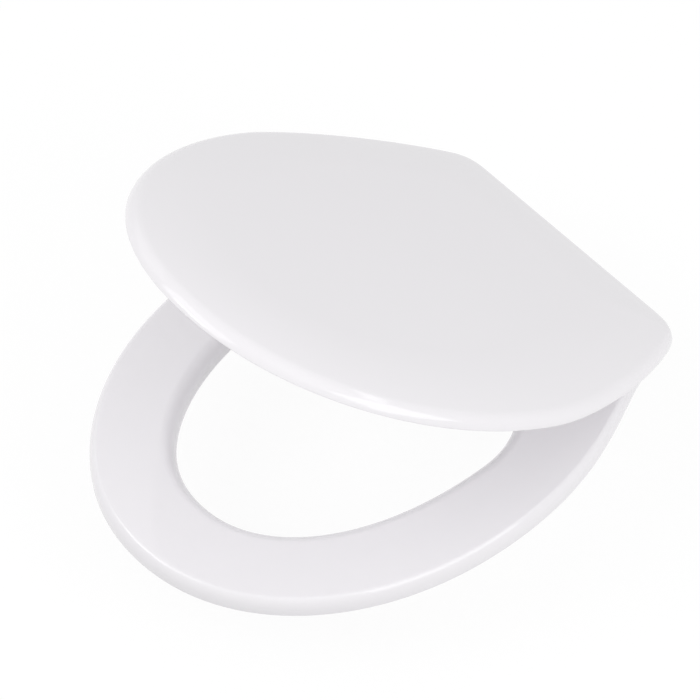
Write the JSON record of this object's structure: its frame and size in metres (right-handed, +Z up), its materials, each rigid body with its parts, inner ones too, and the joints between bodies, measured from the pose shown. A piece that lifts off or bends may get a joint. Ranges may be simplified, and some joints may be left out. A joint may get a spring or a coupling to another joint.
{
  "type": "toilet seat",
  "caption": "White moulded toilet seat with a crowned wrap-over lid and an open oval ring on a bar hinge fixed by studs through the bowl.",
  "frame": {"origin": "midway between the two fixing studs, on the plane where the hinge meets the ceramic", "axes": "+X to the right seen from the front, +Y to the rear, +Z up; the studs leave along -Z"},
  "size_m": [0.37, 0.4518, 0.321],
  "materials": {
    "moulding": "glossy white moulded thermoset",
    "buffer": "soft pale rubber",
    "bush": "natural nylon",
    "gasket": "pale grey rubber",
    "nut": "white nylon",
    "hinge_metal": "polished chrome plate",
    "steel": "plain stainless steel"
  },
  "bodies": {
    "hinge_base": {"hinge_post_left": "hinge_metal", "base_plate_left": "hinge_metal", "base_gasket_left": "gasket", "fixing_stud_left": "steel", "cone_washer_left": "gasket", "flat_washer_left": "steel", "wing_nut_left": "nut", "grub_screw_left": "steel", "hinge_post_right": "hinge_metal", "base_plate_right": "hinge_metal", "base_gasket_right": "gasket", "fixing_stud_right": "steel", "cone_washer_right": "gasket", "flat_washer_right": "steel", "wing_nut_right": "nut", "grub_screw_right": "steel", "hinge_rod": "steel"},
    "seat": {"seat_ring": "moulding", "seat_buffer_front_left": "buffer", "seat_buffer_front_right": "buffer", "seat_buffer_rear_left": "buffer", "seat_buffer_rear_right": "buffer", "seat_bush_left": "bush", "seat_bush_right": "bush"},
    "lid": {"lid": "moulding", "lid_buffer_front_left": "buffer", "lid_buffer_front_right": "buffer", "lid_buffer_rear_left": "buffer", "lid_buffer_rear_right": "buffer", "lid_bush_left": "bush", "lid_bush_right": "bush"}
  },
  "joints": [
    {"name": "ring_hinge", "type": "hinge", "parent": "hinge_base", "child": "seat", "pos_m": [0, 0.024, 0.012], "axis": [-1, 0, 0], "range_deg": [0, 95]},
    {"name": "lid_hinge", "type": "hinge", "parent": "seat", "child": "lid", "pos_m": [0, 0.024, 0.012], "axis": [-1, 0, 0], "range_deg": [-31, 69]}
  ]
}
